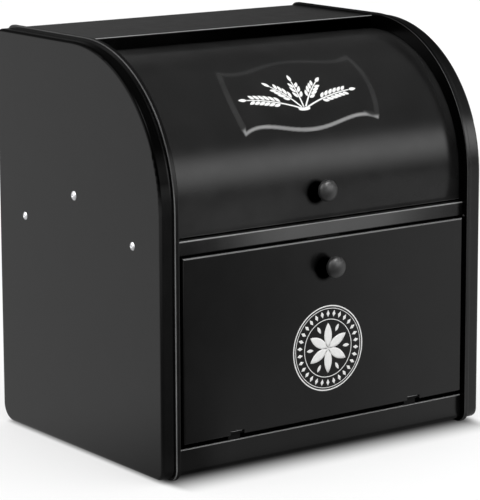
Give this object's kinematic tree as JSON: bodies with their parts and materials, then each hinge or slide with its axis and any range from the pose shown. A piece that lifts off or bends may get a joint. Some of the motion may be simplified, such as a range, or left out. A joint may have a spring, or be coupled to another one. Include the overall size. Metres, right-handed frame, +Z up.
{
  "type": "bread box",
  "caption": "Sheet steel bread box with a curved roll-top lid above an inner shelf and a fall-front door below, each with a round knob, between raised-rim side cheeks.",
  "frame": {"origin": "on the standing surface, under the middle of the bounding box", "axes": "+Z up, +X to the box's left-to-right as seen from its front, the front with lid and door looks along -Y"},
  "size_m": [0.3336, 0.2644, 0.345],
  "materials": {
    "cheek_coat": "black semi-gloss powder coat on sheet steel",
    "case_coat": "black semi-gloss powder coat on sheet steel",
    "rivet_steel": "bright plated steel rivet",
    "pivot_washer": "dark nylon washer",
    "catch_plastic": "black moulded plastic",
    "magnet": "plain dark magnet",
    "steel_fixings": "zinc plated steel",
    "hinge_coat": "black semi-gloss powder coat on sheet steel",
    "pin_steel": "plain steel wire",
    "lid_coat": "black semi-gloss powder coat on sheet steel",
    "door_coat": "black semi-gloss powder coat on sheet steel",
    "knob_coat": "black semi-gloss enamel on turned metal"
  },
  "bodies": {
    "case": {"left_cheek": "cheek_coat", "right_cheek": "cheek_coat", "body_wrap": "case_coat", "base_rail": "case_coat", "shelf": "case_coat", "shelf_rivets": "rivet_steel", "pivot_rivet_left": "rivet_steel", "pivot_rivet_right": "rivet_steel", "pivot_washer_left": "pivot_washer", "pivot_washer_right": "pivot_washer", "catch_housing": "catch_plastic", "catch_magnet": "magnet", "catch_rivets": "steel_fixings", "catch_pins": "rivet_steel", "rail_leaf_left": "hinge_coat", "rail_leaf_right": "hinge_coat"},
    "lid": {"lid_shell": "lid_coat", "lid_arm_left": "lid_coat", "lid_arm_right": "lid_coat", "lid_knob": "knob_coat", "lid_knob_washer": "steel_fixings", "lid_knob_screw": "steel_fixings"},
    "door": {"door_panel": "door_coat", "door_leaf_left": "hinge_coat", "door_leaf_right": "hinge_coat", "hinge_pin_left": "pin_steel", "hinge_pin_right": "pin_steel", "door_knob": "knob_coat", "door_knob_washer": "steel_fixings", "door_knob_screw": "steel_fixings"}
  },
  "joints": [
    {"name": "lid_roll", "type": "hinge", "parent": "case", "child": "lid", "pos_m": [0, 0.00995, 0.2158], "axis": [-1, 0, 0], "range_deg": [0, 80]},
    {"name": "door_fold", "type": "hinge", "parent": "case", "child": "door", "pos_m": [0, -0.11235, 0.0322], "axis": [1, 0, 0], "range_deg": [0, 90]}
  ]
}
